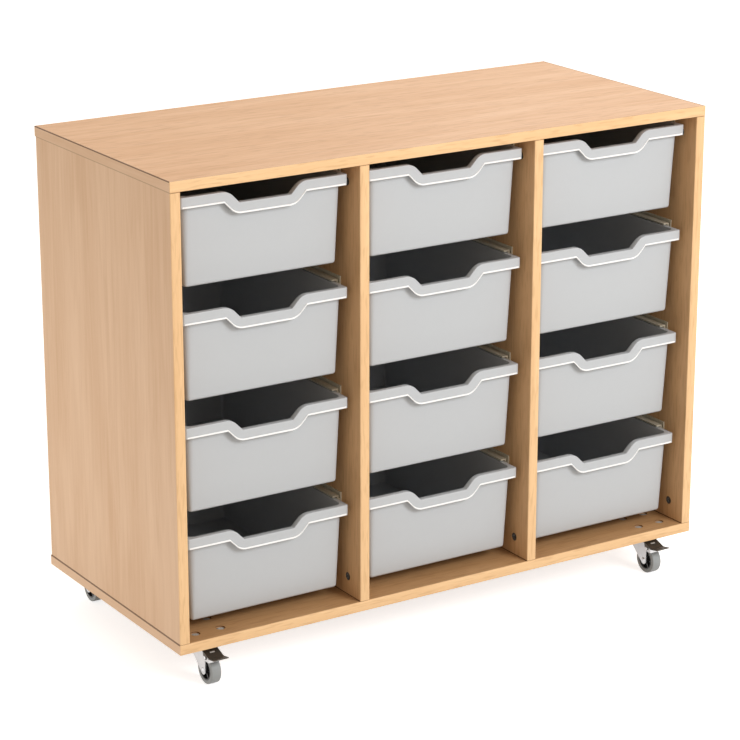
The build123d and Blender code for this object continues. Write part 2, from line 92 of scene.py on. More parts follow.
# Scales of the finishes' patterns per metre, those of the wood across and along its grain
BAND = (17.0, 2.0)
STREAK = (95.0, 5.5)
FLECK = (240.0, 26.0)
MOTTLE = 110.0
MOULD_GRAIN = 420.0
PLATE_CLOUD = 60.0
DRAWN_LINES = (400.0, 400.0, 40.0)
FLOOR_CLOUD = 3.0

# Range in which most of a noise lies, and the range of roughness to which it is spread. Each range stays
# clear of 0.275, because the renderer's smoothing shows a step there.
NOISE_RANGE = (0.3, 0.7)
ROUGHNESS = {
    "wood": (0.47, 0.59),
    "tray_plastic": (0.34, 0.40),
    "runner_plastic": (0.42, 0.48),
    "tyre_grey": (0.52, 0.58),
    "core_black": (0.21, 0.27),
    "castor_zinc": (0.30, 0.44),
    "screw_zinc": (0.29, 0.43),
    "cam_zinc": (0.44, 0.58),
    "bolt_grey": (0.44, 0.58),
    "pedal_dark": (0.36, 0.50),
    "tab_painted_highlight": (0.34, 0.48),
}

# How the wood's grain and flecks are spread, and how dark the flecks are
GRAIN_SPREAD = (0.36, 0.66)
FLECK_SPREAD = (0.53, 0.66)
FLECK_SHARE = 0.32
FLECK_SHADE = (0.72, 0.66, 0.6)

# Darker share of the cloudy finishes
MOULD_SHADE = 0.98
PLATE_SHADE = 0.82
FLOOR_SHADE = 0.99

# How dark a joint line is, from a hairline to a gap: each is a real joint, widened and darkened with painted
# shade
HAIRLINE = 0.35
GLUE_LINE = 0.6
END_JOINT = 0.85
RIM_JOINT = 0.9
FOOT_JOINT = 0.95

# Distances at which points merge and slivers go, and depth of an end face, in metres
WELD_DISTANCE = 1e-6
MERGE_DISTANCE = 2e-6
SLIVER_DISTANCE = 1e-7
END_DEPTH = 0.0006

# Angles, in degrees, over which an edge is broken or stays sharp
BROKEN_ANGLE = 40.0
SHARP_ANGLE = 35.0


def colour(name, words, value):
    """A colour that a user may change, in linear red, green, blue and alpha."""
    return FloatVectorProperty(
        name=name, description=words, subtype="COLOR", size=4, min=0, max=1, default=(*value, 1)
    )


def size(name, words, value):
    """A size that a user may change, in metres."""
    return FloatProperty(
        name=name, description=words, subtype="DISTANCE", unit="LENGTH", precision=5, min=0, default=value
    )


def amount(name, words, value):
    """A plain number that a user may change."""
    return FloatProperty(name=name, description=words, min=0, default=value)


def point(name, words, value):
    """A point that a user may change, in metres."""
    return FloatVectorProperty(
        name=name, description=words, subtype="TRANSLATION", unit="LENGTH", default=value
    )


class BoardLooks(bpy.types.PropertyGroup):
    """Finish of the boards and their front edging, with painted shade in the base board's tones and in the
    uprights' tones inside the bays.
    """

    beech: colour("Beech", "Main tone of the flat boards", (0.80, 0.505, 0.30))
    beech_dark: colour("Beech grain", "Darker tone of the flat boards' grain", (0.70, 0.415, 0.23))
    # Painted shade: the base board's tones are darker than the top's, to paint the shade that the trays cast
    # on its upper face inside the bays.
    base: colour("Base beech", "Main tone of the base board", (0.51, 0.292, 0.137))
    base_shade_grain: colour("Base grain", "Darker tone of the base board's grain", (0.43, 0.238, 0.105))
    side: colour("Side beech", "Main tone of the side panels' outer faces", (0.745, 0.52, 0.35))
    side_dark: colour("Side grain", "Darker tone of the upright boards' grain", (0.65, 0.425, 0.265))
    # Painted shade: the inner tones are darker and redder than the side's, to paint the shade on the
    # uprights' faces inside the bays.
    inner: colour("Inner beech", "Main tone of the uprights' faces inside the bays", (0.68, 0.42, 0.215))
    inner_shade_grain: colour("Inner grain", "Darker tone of the grain inside the bays", (0.59, 0.345, 0.165))
    edge: colour("Edging", "Main tone of the front edging", (0.86, 0.575, 0.315))
    edge_dark: colour("Edging grain", "Darker tone of the edging's grain", (0.77, 0.485, 0.25))
    back: colour("Back board", "Main tone of the thin back panel", (0.68, 0.49, 0.32))
    back_dark: colour("Back grain", "Darker tone of the back panel's grain", (0.54, 0.365, 0.22))
    seam: colour("Seam", "Tone of the shadowed joints between boards", (0.13, 0.055, 0.018))
    seam_half: size("Seam", "Half of the width of a shadowed joint", 0.0017)
    board_bevel: size("Board bevel", "Broken edge of the boards", 0.0004)
    edge_round: size("Edging round", "Radius of the edging's front edges", 0.0009)
    edge_joint: size("Edging joint", "Hairline between two strips of edging", 0.0003)


class TrayLooks(bpy.types.PropertyGroup):
    """Sizes of the trays' mouldings and finish of the trays and their runners."""

    plastic: colour("Tray plastic", "Tone of the moulded trays", (0.49, 0.51, 0.535))
    # Painted highlight: the bead's near-white tone paints the bright line that light makes along the skirt's
    # lower edge.
    bead_highlight_tone: colour("Bead", "Tone of the thin bead, which lets more light through", (0.93, 0.94, 0.95))
    runner: colour("Runner plastic", "Tone of the tray runners", (0.62, 0.58, 0.47))
    wall: size("Wall", "Thickness of the walls", 0.0022)
    floor: size("Floor", "Thickness of the floor", 0.0026)
    lean: size("Lean", "How far each wall leans out from floor to rim", 0.008)
    side_overhang: size("Side overhang", "Reach of the rim past the side walls", 0.0055)
    end_overhang: size("End overhang", "Reach of the rim past the end walls", 0.008)
    corner: size("Corner", "Corner radius of the floor", 0.006)
    floor_round: size("Floor round", "Radius where the walls meet the floor", 0.0045)
    rim: size("Rim", "Thickness of the rim", 0.003)
    rim_corner: size("Rim corner", "Corner radius of the rim", 0.004)
    rim_round: size("Rim round", "Radius of the rim's upper edges", 0.001)
    skirt: size("Skirt", "Height of the skirt in front", 0.0184)
    skirt_wall: size("Skirt wall", "Thickness of the skirt", 0.0026)
    skirt_return: size("Skirt return", "How far the skirt runs back along the sides", 0.028)
    skirt_end_round: size("Skirt end", "Radius of the skirt's rear lower corner", 0.003)
    flare: size("Flare", "How much wider the dip is at the skirt's lower edge, on each side", 0.0085)
    dip: size("Dip", "Depth of the handle's dip", 0.0206)
    dip_floor: size("Dip floor", "Width of the dip's level part", 0.096)
    dip_run: size("Dip run", "Width of each slope of the dip", 0.020)
    dip_round: size("Dip round", "Radius of the dip's soft bends", 0.028)
    dip_crease: size("Dip crease", "Radius of the dip's tight bends", 0.0025)
    bead: size("Bead", "Height of the bead along the skirt's lower edge", 0.0034)
    bead_reach: size("Bead reach", "How far the bead stands out", 0.0016)


class CastorLooks(bpy.types.PropertyGroup):
    """Sizes of the turned pieces and finish of the castors and the fasteners."""

    zinc: colour("Zinc", "Tone of the plated forks and plates", (0.64, 0.64, 0.65))
    dark_steel: colour("Dark steel", "Tone of the brake pedals", (0.085, 0.07, 0.055))
    tab: colour("Tab", "Tone of the pedals' bright tabs", (0.86, 0.85, 0.83))
    # Partly painted highlight: the tab's near-white tone, on a barely metallic finish, paints the glint of a
    # zinc tab in the pedal's slot.
    tyre: colour("Tyre", "Tone of the grey tyres", (0.30, 0.315, 0.32))
    core: colour("Core", "Tone of the wheel cores", (0.018, 0.018, 0.019))
    bolt: colour("Bolt", "Tone of the castor bolts", (0.55, 0.53, 0.50))
    cam: colour("Cam", "Tone of the cam locks", (0.16, 0.155, 0.14))
    tread_round: size("Tread round", "Radius of the tyre's shoulders", 0.0012)
    tyre_wall: size("Tyre", "Thickness of the tyre", 0.0065)
    core_rim: size("Core rim", "Width of the wheel core's rim", 0.0025)
    core_recess: size("Core recess", "Depth of the wheel core's recess", 0.006)
    hub: size("Hub", "Radius of the hub", 0.007)
    spoke: size("Spoke", "Width of the spokes", 0.0024)
    spoke_sink: size("Spoke sink", "How far the spokes lie under the rim", 0.0015)
    axle: size("Axle", "Radius of the axle", 0.003)
    axle_head: size("Axle head", "Height of the axle's domed heads", 0.0018)
    pin: size("Pin", "Radius of the pedal's pin", 0.002)
    pin_head: size("Pin head", "Height of the pin's domed heads", 0.0012)
    bolt_head: size("Bolt head", "Radius of the castor bolts' heads", 0.0075)
    bolt_head_height: size("Bolt head height", "Height of the castor bolts' heads", 0.0024)
    bolt_dome: size("Bolt dome", "How far the castor bolts' heads are domed", 0.0014)
    bolt_shank: size("Bolt shank", "Radius of the castor bolts", 0.003)
    bolt_spacing: size("Bolt spacing", "Side of the square in which the bolts stand", 0.048)
    cam_face: size("Cam", "Radius of the cam locks", 0.0075)
    cam_depth: size("Cam depth", "Depth of the cam locks", 0.0125)
    cam_sink: size("Cam sink", "How far the cams lie under the board's face", 0.0004)
    tab_setback: size("Tab setback", "How far the pedal's bright tab lies from its rear edge", 0.0241)
    tab_length: size("Tab length", "Length of the pedal's bright tab", 0.0104)
    tab_width: size("Tab width", "Width of the pedal's bright tab", 0.0034)
    tab_thickness: size("Tab thickness", "Thickness of the pedal's bright tab", 0.0022)
    pedal_slope: amount("Pedal slope", "Fall of the pedal's face for each unit forwards", 0.3408)
    metal_bevel: size("Metal bevel", "Broken edge of the pressed metal", 0.0003)


class StageLooks(bpy.types.PropertyGroup):
    """Camera, floor and light."""

    camera_place: point("Camera place", "Where the camera stands", (-2.4557, -3.8434, 1.8638))
    camera_aim: FloatVectorProperty(
        name="Camera aim", description="Direction in which the camera looks", subtype="DIRECTION",
        default=(0.51096, 0.80470, -0.30228),
    )
    lens: FloatProperty(
        name="Lens", description="Focal length on a 36 mm frame", unit="CAMERA", default=129.79
    )
    floor: colour("Floor", "Tone of the pale floor", (0.80, 0.80, 0.80))
    floor_lift: amount("Floor lift", "Light added to the floor where the eye sees it", 0.72)
    floor_half: size("Floor half", "Half of the floor's side", 14.0)
    sky: amount("Sky", "Strength of the even light", 0.62)
    sky_tone: colour("Sky tone", "Tone of the even light", (1.0, 0.88, 0.745))
    front_power: amount("Front lamp", "Power of the lamp in front, in watts", 110.0)
    front_place: point("Front place", "Where the front lamp stands", (1.2, -3.6, 2.6))
    side_power: amount("Side lamp", "Power of the lamp beside the left panel, in watts", 3.9)
    side_place: point("Side place", "Where the side lamp stands", (-1.7, 0.35, 0.2))
    top_power: amount("Top lamp", "Power of the lamp over the top panel, in watts", 20.0)
    top_place: point("Top place", "Where the top lamp hangs", (1.6, 1.4, 2.6))
    lamp_tone: colour("Lamp tone", "Tone of the lamps", (0.955, 0.985, 1.0))
    lamp_size: size("Lamp size", "Side of the two square lamps in front and above", 1.5)
    side_size: size("Side lamp size", "Side of the square lamp beside the left panel", 0.35)


class Nodes:
    """The nodes of a material or of the sky while they are put together."""

    def __init__(self, owner):
        owner.use_nodes = True
        self.owner = owner
        self.tree = owner.node_tree

    def node(self, kind, inputs=(), **settings):
        """Adds a node, with its settings and its inputs: a socket is linked, a value is set."""
        made = self.tree.nodes.new("ShaderNode" + kind)
        for key, value in settings.items():
            setattr(made, key, value)
        self.feed(made, inputs)
        return made

    def feed(self, node, inputs):
        """Links or sets a node's inputs."""
        for key, value in dict(inputs).items():
            if isinstance(value, bpy.types.NodeSocket):
                self.tree.links.new(value, node.inputs[key])
            else:
                node.inputs[key].default_value = value

    def place(self, scale=(1, 1, 1)):
        """Object coordinates, scaled."""
        where = self.node("TexCoord").outputs["Object"]
        return self.node("Mapping", {"Vector": where, "Scale": scale}).outputs["Vector"]

    def noise(self, where, scale=1.0, detail=3.0, roughness=0.55, distortion=0.0):
        """Cloudy noise between 0 and 1."""
        made = self.node(
            "TexNoise",
            {"Vector": where, "Scale": scale, "Detail": detail, "Roughness": roughness,
             "Distortion": distortion},
        )
        return made.outputs["Fac"]

    def spread(self, value, low, high, to_low=0.0, to_high=1.0):
        """A value spread from one range to another and held inside it."""
        made = self.node(
            "MapRange",
            {"Value": value, "From Min": low, "From Max": high, "To Min": to_low, "To Max": to_high},
        )
        return made.outputs["Result"]

    def maths(self, operation, first, second=0.0, third=0.0):
        """One sum."""
        made = self.node("Math", {0: first, 1: second, 2: third}, operation=operation)
        return made.outputs["Value"]

    def mix(self, share, first, second):
        """Two colours mixed by a share."""
        made = self.node("Mix", data_type="RGBA")
        self.feed(made, {"Factor": share, 6: first, 7: second})
        return made.outputs[2]

    def bump(self, height, strength, distance):
        """A bumped normal."""
        made = self.node("Bump", {"Height": height, "Strength": strength, "Distance": distance})
        return made.outputs["Normal"]

    def facing(self, axis):
        """1 where the surface faces along an axis, either way, and 0 elsewhere."""
        normal = self.node("NewGeometry").outputs["True Normal"]
        part = self.node("SeparateXYZ", {"Vector": normal}).outputs[axis]
        return self.maths("GREATER_THAN", self.maths("ABSOLUTE", part), 0.7)

    def near(self, axis, places, half):
        """1 within a short distance of any of the places along an axis, and 0 elsewhere."""
        where = self.node("TexCoord").outputs["Object"]
        part = self.node("SeparateXYZ", {"Vector": where}).outputs[axis]
        total = self.maths("COMPARE", part, places[0], half)
        for spot in places[1:]:
            total = self.maths("MAXIMUM", total, self.maths("COMPARE", part, spot, half))
        return total

    def seen(self, plain, shown):
        """A strength that differs for rays from the eye, in reflections and through clear matter."""
        rays = self.node("LightPath").outputs
        total = rays["Is Camera Ray"]
        for kind in ("Is Glossy Ray", "Is Transmission Ray"):
            total = self.maths("MAXIMUM", total, rays[kind])
        return self.spread(total, 0.0, 1.0, plain, shown)

    def done(self, **inputs):
        """Feeds a material's shader by plain names and gives the material."""
        shader = self.tree.nodes["Principled BSDF"]
        self.feed(shader, {key.replace("_", " "): value for key, value in inputs.items()})
        return self.owner


def shade(tone, share):
    """A tone made darker or lighter by a share."""
    return (tone[0] * share, tone[1] * share, tone[2] * share, 1)


def stretched(scales, along):
    """Scales, across and along, of a pattern that is stretched along one axis."""
    across, length = scales
    return [length if axis == along else across for axis in "XYZ"]


def wood(name, tone, dark, along, ends=(), end_tones=None, end_along="Y", lines=(), seam=None):
    """Beech print: soft broad bands, long streaks and short flecks, stretched along one axis.

    The faces at each X in ends have two tones of their own and their own direction of grain. Each of the
    lines is a dark joint, a real joint widened and darkened with painted shade: its axis, its place there,
    half of its width, its strength, and whether it lies on the level faces or on the upright ones.
    """
    finish = Nodes(bpy.data.materials.new(name))

    def figure(direction, light, deep):
        bands = finish.place(stretched(BAND, direction))
        band = finish.noise(bands, detail=2.0, roughness=0.5, distortion=0.6)
        streaks = finish.place(stretched(STREAK, direction))
        streak = finish.noise(streaks, detail=4.0, roughness=0.6, distortion=0.9)
        grain = finish.maths("MULTIPLY", finish.maths("ADD", band, streak), 0.5)
        return grain, finish.mix(finish.spread(grain, *GRAIN_SPREAD), light, deep)

    grain, base = figure(along, tone, dark)
    fleck = finish.noise(finish.place(stretched(FLECK, along)), detail=1.0, roughness=0.5)
    flecks = finish.spread(fleck, *FLECK_SPREAD, 0.0, FLECK_SHARE)
    fleck_tone = [part * share for part, share in zip(dark, FLECK_SHADE)]
    base = finish.mix(flecks, base, (*fleck_tone, 1))
    if ends:
        end_base = figure(end_along, *end_tones)[1]
        base = finish.mix(finish.near("X", ends, END_DEPTH), base, end_base)
    level = finish.facing("Z") if lines else None
    for axis, spot, half, strength, on_level in lines:
        side = level if on_level else finish.maths("SUBTRACT", 1.0, level)
        line = finish.maths("MULTIPLY", finish.near(axis, [spot], half), side)
        base = finish.mix(finish.maths("MULTIPLY", line, strength), base, seam)
    roughness = finish.spread(grain, *NOISE_RANGE, *ROUGHNESS["wood"])
    normal = finish.bump(fleck, strength=0.06, distance=0.0004)
    return finish.done(Base_Color=base, Roughness=roughness, Normal=normal, Specular_IOR_Level=0.3)


def moulded(name, tone, pale=None):
    """Moulded plastic or rubber: one tone with a faint mottle and a fine moulded grain.

    Where a pale tone is given, it shows by the piece's own measure of paleness, its pale attribute; on the
    trays it is a painted highlight along the bead.
    """
    finish = Nodes(bpy.data.materials.new(name))
    cloud = finish.noise(finish.place(), MOTTLE, detail=2.0)
    grain = finish.noise(finish.place(), MOULD_GRAIN, detail=1.0)
    base = finish.mix(cloud, tone, shade(tone, MOULD_SHADE))
    if pale:
        share = finish.node("Attribute", attribute_name="pale").outputs["Fac"]
        base = finish.mix(share, base, pale)
    roughness = finish.spread(cloud, *NOISE_RANGE, *ROUGHNESS[name])
    normal = finish.bump(grain, strength=0.02, distance=0.0001)
    return finish.done(Base_Color=base, Roughness=roughness, Normal=normal)


def plated(name, tone, metallic=1.0):
    """Plated metal: a faint cloudy sheen with fine drawn lines."""
    finish = Nodes(bpy.data.materials.new(name))
    cloud = finish.noise(finish.place(), PLATE_CLOUD)
    lines = finish.noise(finish.place(DRAWN_LINES), detail=2.0)
    base = finish.mix(cloud, tone, shade(tone, PLATE_SHADE))
    roughness = finish.spread(lines, *NOISE_RANGE, *ROUGHNESS[name])
    normal = finish.bump(lines, strength=0.04, distance=0.0001)
    return finish.done(Base_Color=base, Roughness=roughness, Normal=normal, Metallic=metallic)


def dress(names, material, bevel=0.0):
    """Gives CAD nodes a material and, where a bevel is given, broken edges."""
    for name in names:
        node = cad_nodes[name]
        node.data.materials.clear()
        node.data.materials.append(material)
        if bevel:
            weld = node.modifiers.new("weld", "WELD")
            weld.merge_threshold = WELD_DISTANCE
            edge = node.modifiers.new("broken_edges", "BEVEL")
            edge.width = bevel
            edge.segments = 2
            edge.limit_method = "ANGLE"
            edge.angle_limit = math.radians(BROKEN_ANGLE)
            edge.harden_normals = True


def grid_faces(rows, columns, rows_meet=False):
    """Four-cornered faces of a grid of points whose columns meet, and whose rows meet if asked."""
    last = rows if rows_meet else rows - 1
    row, column = np.meshgrid(np.arange(last), np.arange(columns), indexing="ij")
    row_next = (row + 1) % rows
    column_next = (column + 1) % columns
    corners = [row * columns + column, row * columns + column_next,
               row_next * columns + column_next, row_next * columns + column]
    return np.stack(corners, axis=-1).reshape(-1, 4)


def put(name, data):
    """Puts a new object into the scene."""
    made = bpy.data.objects.new(name, data)
    bpy.context.scene.collection.objects.link(made)
    return made


def add_piece(name, points, faces, material, body, replaced=(), pale=None):
    """Makes a mesh object of points and faces, closed and facing outwards, that rides on a body."""
    data = bpy.data.meshes.new(name)
    data.from_pydata(points.reshape(-1, 3).tolist(), [], faces)
    # The pale values mark where a painted highlight shows.
    if pale is not None:
        data.attributes.new("pale", "FLOAT", "POINT").data.foreach_set("value", pale.ravel())
    shape = bmesh.new()
    shape.from_mesh(data)
    bmesh.ops.remove_doubles(shape, verts=shape.verts, dist=MERGE_DISTANCE)
    bmesh.ops.dissolve_degenerate(shape, edges=shape.edges, dist=SLIVER_DISTANCE)
    if shape.calc_volume(signed=True) < 0:
        bmesh.ops.reverse_faces(shape, faces=shape.faces)
    shape.to_mesh(data)
    shape.free()
    data.shade_smooth()
    data.set_sharp_from_angle(angle=math.radians(SHARP_ANGLE))
    data.materials.append(material)
    piece = put(name, data)
    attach(piece, body)
    if replaced:
        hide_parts(*replaced)


def rounded_bar(low, high, along, front_round):
    """A straight bar: a rectangle with its two front corners rounded, carried along X or Z.

    The section is the depth along Y against the bar's width, with quarter circles at the front.
    """
    depth = high[1] - low[1]
    across = 2 if along == "X" else 0
    width = high[across] - low[across]
    turn = np.concatenate([[0.0], QUARTER])
    arc = front_round * np.stack([1 - np.cos(turn), 1 - np.sin(turn)], axis=-1)
    section_y = np.concatenate([[depth], arc[::-1, 0], arc[:, 0], [depth]])
    section_w = np.concatenate([[0.0], arc[::-1, 1], width - arc[:, 1], [width]])
    section = np.zeros((len(section_y), 3))
    section[:, 1] = low[1] + section_y
    section[:, across] = low[across] + section_w
    lengthwise = "XYZ".index(along)
    rows = np.stack([section, section])
    rows[0, :, lengthwise] = low[lengthwise]
    rows[1, :, lengthwise] = high[lengthwise]
    count = len(section)
    faces = grid_faces(2, count).tolist()
    faces.append(list(range(count))[::-1])
    faces.append(list(range(count, 2 * count)))
    return rows, faces


class UNIT_OT_boards(bpy.types.Operator):
    """Finish the boards of the carcass and lay the strips of their front edging"""

    bl_idname = "tray_unit.boards"
    bl_label = "Boards"

    def execute(self, context):
        looks = context.scene.board_looks
        low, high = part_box("top_panel")
        joints = [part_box("base_panel")[1][2], low[2]]
        half = looks.seam_half
        # Partly painted shade: the dark lines at the joints are wider than the real gaps, where the uprights
        # meet the base and the top, and round the top's upper edges.
        foot = ("Z", joints[0], half, FOOT_JOINT, False)
        head = ("Z", joints[1], half / 2, HAIRLINE, False)
        rims = [("Z", high[2], half, RIM_JOINT, False), ("Y", low[1], half / 2, GLUE_LINE, True)]
        rims += [("X", spot, half, RIM_JOINT, True) for spot in (low[0], high[0])]
        ends = {"ends": [low[0], high[0]], "end_tones": (looks.side, looks.side_dark), "seam": looks.seam}
        top = wood("beech_top_board", looks.beech, looks.beech_dark, "X", **ends, lines=[*rims, head])
        # Painted shade: the base board takes its darker tones on every face but its two ends.
        base = wood("beech_base_board", looks.base, looks.base_shade_grain, "X", **ends, lines=[foot])
        # Painted shade: the uprights take the darker inner tones on every face but the outer faces at each
        # end.
        upright = wood(
            "beech_upright_board", looks.inner, looks.inner_shade_grain, "Z", **ends, end_along="Z",
            lines=[foot, head],
        )
        back = wood("back_board", looks.back, looks.back_dark, "Z")
        dress(["top_panel"], top, looks.board_bevel)
        dress(["base_panel"], base, looks.board_bevel)
        dress(UPRIGHTS, upright, looks.board_bevel)
        dress(["back_panel"], back, looks.board_bevel)
        self.lay_edging(looks, joints)
        return {"FINISHED"}

    def lay_edging(self, looks, joints):
        """Lays one strip on the front of each board, with the grain along the strip."""
        # Partly painted shade: the dark line where two strips of edging meet is three times as wide as their
        # hairline gap.
        lines = [("Z", spot, 3 * looks.edge_joint, END_JOINT, False) for spot in joints]
        level = wood("edging_level", looks.edge, looks.edge_dark, "X")
        plumb = wood("edging_plumb", looks.edge, looks.edge_dark, "Z", lines=lines, seam=looks.seam)
        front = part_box("front_edging")
        for board in (*FLAT_BOARDS, *UPRIGHTS):
            low, high = (np.array(corner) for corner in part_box(board))
            high[1] = low[1]
            low[1] = front[0][1]
            along = "X" if board in FLAT_BOARDS else "Z"
            if along == "Z":
                low[2] += looks.edge_joint
                high[2] -= looks.edge_joint
            points, faces = rounded_bar(low, high, along, looks.edge_round)
            add_piece(
                f"{board}_edging", points, faces, level if along == "X" else plumb,
                "carcass", ["front_edging"],
            )


def dip_depth(across, floor_half, run, depth, mouth_round, floor_round):
    """How deep the handle's dip is at each place across the front.

    A level floor, a straight slope and the level rim, with an arc tangent to both lines at the slope's
    upper end (mouth_round) and at its lower end (floor_round).
    """
    slope = math.atan2(depth, run)
    reach = np.abs(across)
    floor_tangent = floor_round * math.tan(slope / 2)
    mouth_tangent = mouth_round * math.tan(slope / 2)
    floor_start = floor_half - floor_tangent
    floor_end = floor_half + floor_tangent * math.cos(slope)
    mouth_start = floor_half + run - mouth_tangent * math.cos(slope)
    mouth_end = floor_half + run + mouth_tangent
    floor_rise = np.sqrt(np.clip(floor_round**2 - (reach - floor_start) ** 2, 0, None))
    mouth_rise = np.sqrt(np.clip(mouth_round**2 - (mouth_end - reach) ** 2, 0, None))
    return np.select(
        [reach < floor_start, reach < floor_end, reach < mouth_start, reach < mouth_end],
        [
            np.full_like(reach, depth),
            depth - floor_round + floor_rise,
            depth - (reach - floor_half) * math.tan(slope),
            mouth_round - mouth_rise,
        ],
        0.0,
    )


def rim_path(looks, half, length, dip_reach):
    """Steps round the rim, anticlockwise from the front left, as centre x, centre y and direction.

    Each step lies at its centre plus a radius along its direction. The front is stepped finely across
    the dip, the corners are quarter circles and the sides are stepped closely where the skirt ends.
    """
    corner = looks.rim_corner
    far = length - corner
    back = looks.skirt_return
    tail = looks.skirt_end_round
    fine = np.linspace(-dip_reach, dip_reach, DIP_STEPS)
    ends = np.linspace(dip_reach, half, CORNER_STEPS)[1:]
    turn = np.linspace(0, np.pi / 2, CORNER_STEPS)[1:-1]
    curl = back - tail + tail * np.sin(np.linspace(0, np.pi / 2, CORNER_STEPS))
    side = np.concatenate([[corner], curl, [back * 1.001], np.linspace(back * 1.1, far, CORNER_STEPS)])
    right_angle = np.pi / 2
    stretches = [
        (np.concatenate([-ends[::-1], fine, ends]), corner, -right_angle),
        (half, corner, turn - right_angle),
        (half, side, 0.0),
        (half, far, turn),
        (np.linspace(half, -half, CORNER_STEPS), far, right_angle),
        (-half, far, turn + right_angle),
        (-half, side[::-1], 2 * right_angle),
        (-half, corner, turn + 2 * right_angle),
    ]
    steps = [np.stack(np.broadcast_arrays(*map(np.atleast_1d, stretch)), axis=-1) for stretch in stretches]
    return np.concatenate(steps)


def tray_surface(looks, width, length, height):
    """One tray, its rim's front at y = 0 and its rim's top at z = 0, as points of a grid and faces.

    A section, from the inner floor up the inner wall, over the rim, down the skirt with its bead, back
    under the rim and down the outer wall, is carried round the rim's outline. In front, the section's
    upper heights follow the dip and its lower heights follow the flared dip.
    """
    half = width / 2 - looks.rim_corner
    dip_reach = looks.dip_floor / 2 + looks.flare + 2 * looks.dip_run
    path = rim_path(looks, half, length, dip_reach)
    across, along, direction = path.T
    front = (direction == -np.pi / 2).astype(float)

    # Heights of the rim's top and of the skirt's lower edge
    upper = -front * dip_depth(
        across, looks.dip_floor / 2, looks.dip_run, looks.dip, looks.dip_round, looks.dip_crease
    )
    curl = np.clip(along - looks.skirt_return + looks.skirt_end_round, 0, looks.skirt_end_round)
    skirt = looks.skirt - looks.skirt_end_round + np.sqrt(looks.skirt_end_round**2 - curl**2)
    skirt = np.where(along > looks.skirt_return, looks.rim, skirt)
    lower = -skirt - front * dip_depth(
        across, looks.dip_floor / 2 + looks.flare, looks.dip_run, looks.dip, looks.dip_crease, looks.dip_round
    )
    has_skirt = skirt > looks.rim
    swell = front * np.sqrt(np.clip((half - np.abs(across)) / looks.rim_corner, 0, 1))
    small = looks.rim_round / 2
    bead = np.where(front > 0, looks.bead, small)
    soft = looks.rim_round

    def rim_row(inset, z):
        radius = np.maximum(looks.rim_corner - inset, small)
        return inset, inset, radius, z

    def wall_row(inward, z):
        sunk = -z / height
        lean = looks.lean * sunk + inward
        radius = looks.corner + looks.lean * (1 - sunk) - inward
        return looks.side_overhang + lean, looks.end_overhang + lean, radius, z

    inner_round = looks.floor_round - looks.wall
    inner_floor = looks.floor - height
    inner_top = upper - soft
    under_rim = upper - looks.rim
    outer_low = looks.floor_round - height
    thirds = (1 / 3, 2 / 3, 1.0)
    rows = [wall_row(looks.wall + inner_round, inner_floor)]
    rows += [
        wall_row(
            looks.wall + inner_round * (1 - np.sin(turn)), inner_floor + inner_round * (1 - np.cos(turn))
        )
        for turn in QUARTER
    ]
    wall_foot = inner_floor + inner_round
    rows += [wall_row(looks.wall, wall_foot + share * (inner_top - wall_foot)) for share in thirds]
    rows += [
        wall_row(looks.wall - soft * (1 - np.cos(turn)), inner_top + soft * np.sin(turn)) for turn in QUARTER
    ]
    rows += [rim_row(soft, upper)]
    rows += [rim_row(soft * (1 - np.sin(turn)), upper - soft * (1 - np.cos(turn))) for turn in QUARTER]
    face_top = upper - soft
    face_low = lower + bead
    rows += [rim_row(0.0, face_top + share * (face_low - face_top)) for share in thirds]
    bead_start = len(rows)
    rows += [
        rim_row(-looks.bead_reach * swell * (1 - abs(2 * share - 1) ** 3), lower + bead * share)
        for share in BEAD_STEPS
    ]
    bead_stop = len(rows)
    rows += [rim_row(small / 2, lower), rim_row(looks.skirt_wall - small, lower)]
    rows += [rim_row(looks.skirt_wall, lower + small * has_skirt), rim_row(looks.skirt_wall, under_rim)]
    rows += [wall_row(0.0, under_rim)]
    rows += [wall_row(0.0, under_rim + share * (outer_low - under_rim)) for share in thirds]
    rows += [
        wall_row(looks.floor_round * (1 - np.cos(turn)), outer_low - looks.floor_round * np.sin(turn))
        for turn in QUARTER
    ]

    grid = [np.stack([np.broadcast_to(value, across.shape) for value in row]) for row in rows]
    side_inset, end_inset, radius, z = np.stack(grid, axis=1)
    flat_half = width / 2 - side_inset - radius
    stretch = (flat_half - dip_reach) / (half - dip_reach)
    outside = np.abs(across) - dip_reach
    centre_x = np.sign(across) * (dip_reach + np.where(outside > 0, outside * stretch, outside))
    run_share = (along - looks.rim_corner) / (length - 2 * looks.rim_corner)
    centre_y = end_inset + radius + run_share * (length - 2 * end_inset - 2 * radius)
    x = centre_x + radius * np.cos(direction)
    y = centre_y + radius * np.sin(direction)
    points = np.stack([x, y, z], axis=-1)
    rings, steps = z.shape
    faces = grid_faces(rings, steps).tolist()
    faces.append(list(range(steps))[::-1])
    faces.append(list(range((rings - 1) * steps, rings * steps)))
    # Painted highlight: the bead's rows in front are marked to take the paler tone.
    pale = np.zeros((rings, steps))
    pale[bead_start:bead_stop] = front
    return points, faces, pale


class UNIT_OT_trays(bpy.types.Operator):
    """Mould the trays"""

    bl_idname = "tray_unit.trays"
    bl_label = "Trays"

    def execute(self, context):
        looks = context.scene.tray_looks
        plastic = moulded("tray_plastic", looks.plastic, looks.bead_highlight_tone)
        low, high = (np.array(corner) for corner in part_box("tray_left_1"))
        width = high[0] - low[0]
        length = high[1] - low[1] - looks.bead_reach
        points, faces, pale = tray_surface(looks, width, length, high[2] - low[2])
        for bay in BAYS:
            for row in ROWS:
                node = f"tray_{bay}_{row}"
                low, high = (np.array(corner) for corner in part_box(node))
                place = np.array([(low[0] + high[0]) / 2, low[1] + looks.bead_reach, high[2]])
                add_piece(
                    f"{node}_moulding", points + place, faces, plastic, node, [node], pale
                )
        return {"FINISHED"}


